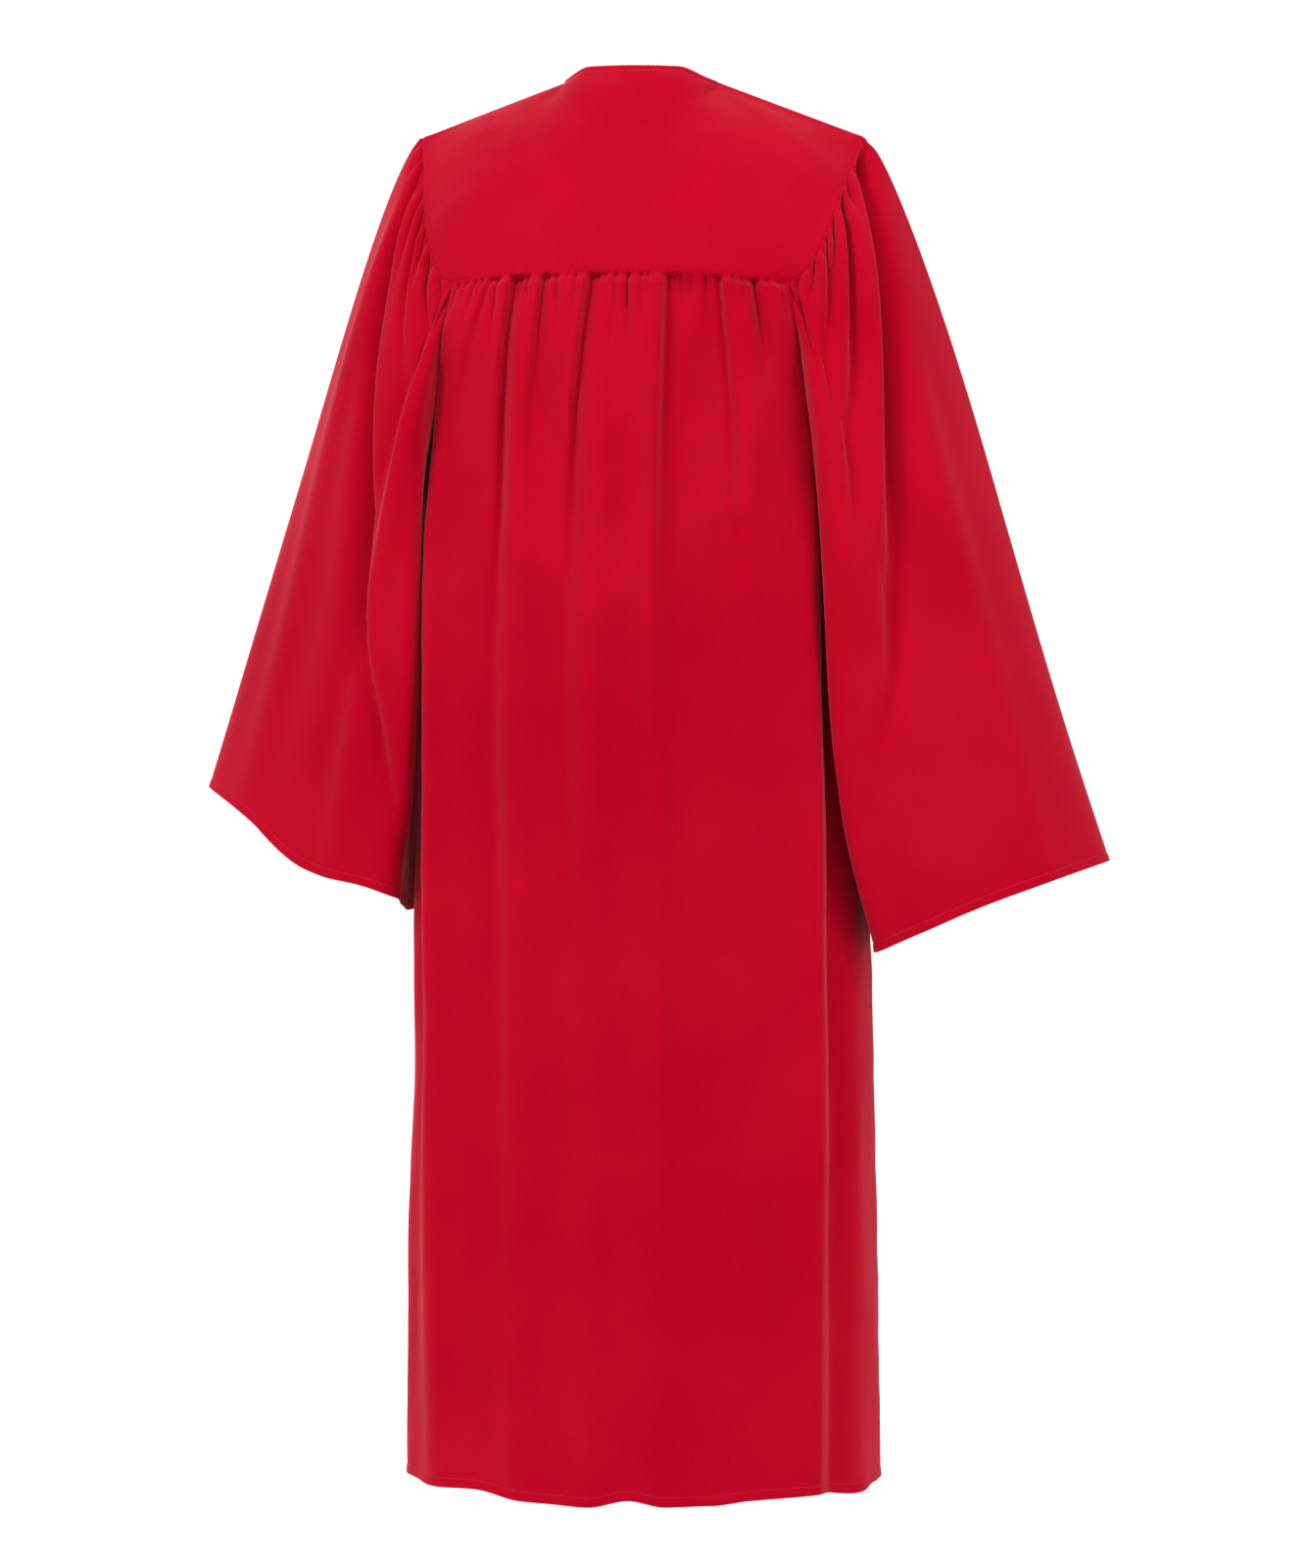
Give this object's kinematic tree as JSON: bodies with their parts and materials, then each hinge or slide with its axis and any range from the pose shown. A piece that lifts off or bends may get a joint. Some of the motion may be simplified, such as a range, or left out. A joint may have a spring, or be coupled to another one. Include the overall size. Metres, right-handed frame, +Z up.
{
  "type": "worn graduation gown held up by the wearer's shoulders",
  "caption": "Full-length graduation gown with gathered back under a smooth yoke, open bell sleeves and a front zip, hollow and hanging as worn.",
  "frame": {"origin": "midway between the neck ends of the two shoulder seams, where the wearer's shoulders hold the gown", "axes": "+Z up, +Y out of the back, -Y out of the zipped front, +X to the gown's own left"},
  "size_m": [0.8992, 0.3412, 1.3717],
  "materials": {
    "red_cloth": "matte polyester with a soft sheen",
    "red_tape": "matte woven tape",
    "red_coil": "nylon coil",
    "red_painted_metal": "enamelled"
  },
  "bodies": {
    "gown": {"back_yoke": "red_cloth", "front_yoke_left": "red_cloth", "front_yoke_right": "red_cloth", "back_panel": "red_cloth", "front_panel_left": "red_cloth", "front_panel_right": "red_cloth", "sleeve_left": "red_cloth", "sleeve_right": "red_cloth", "zip_tape_left": "red_tape", "zip_tape_right": "red_tape", "zip_chain": "red_coil", "zip_stop": "red_painted_metal", "zip_slider": "red_painted_metal"},
    "pull_tab": {"zip_pull": "red_painted_metal"}
  },
  "joints": [
    {"name": "pull_tab_hinge", "type": "hinge", "parent": "gown", "child": "pull_tab", "pos_m": [0, -0.12342, -0.1221], "axis": [-1, 0, 0], "range_deg": [0, 150]}
  ]
}
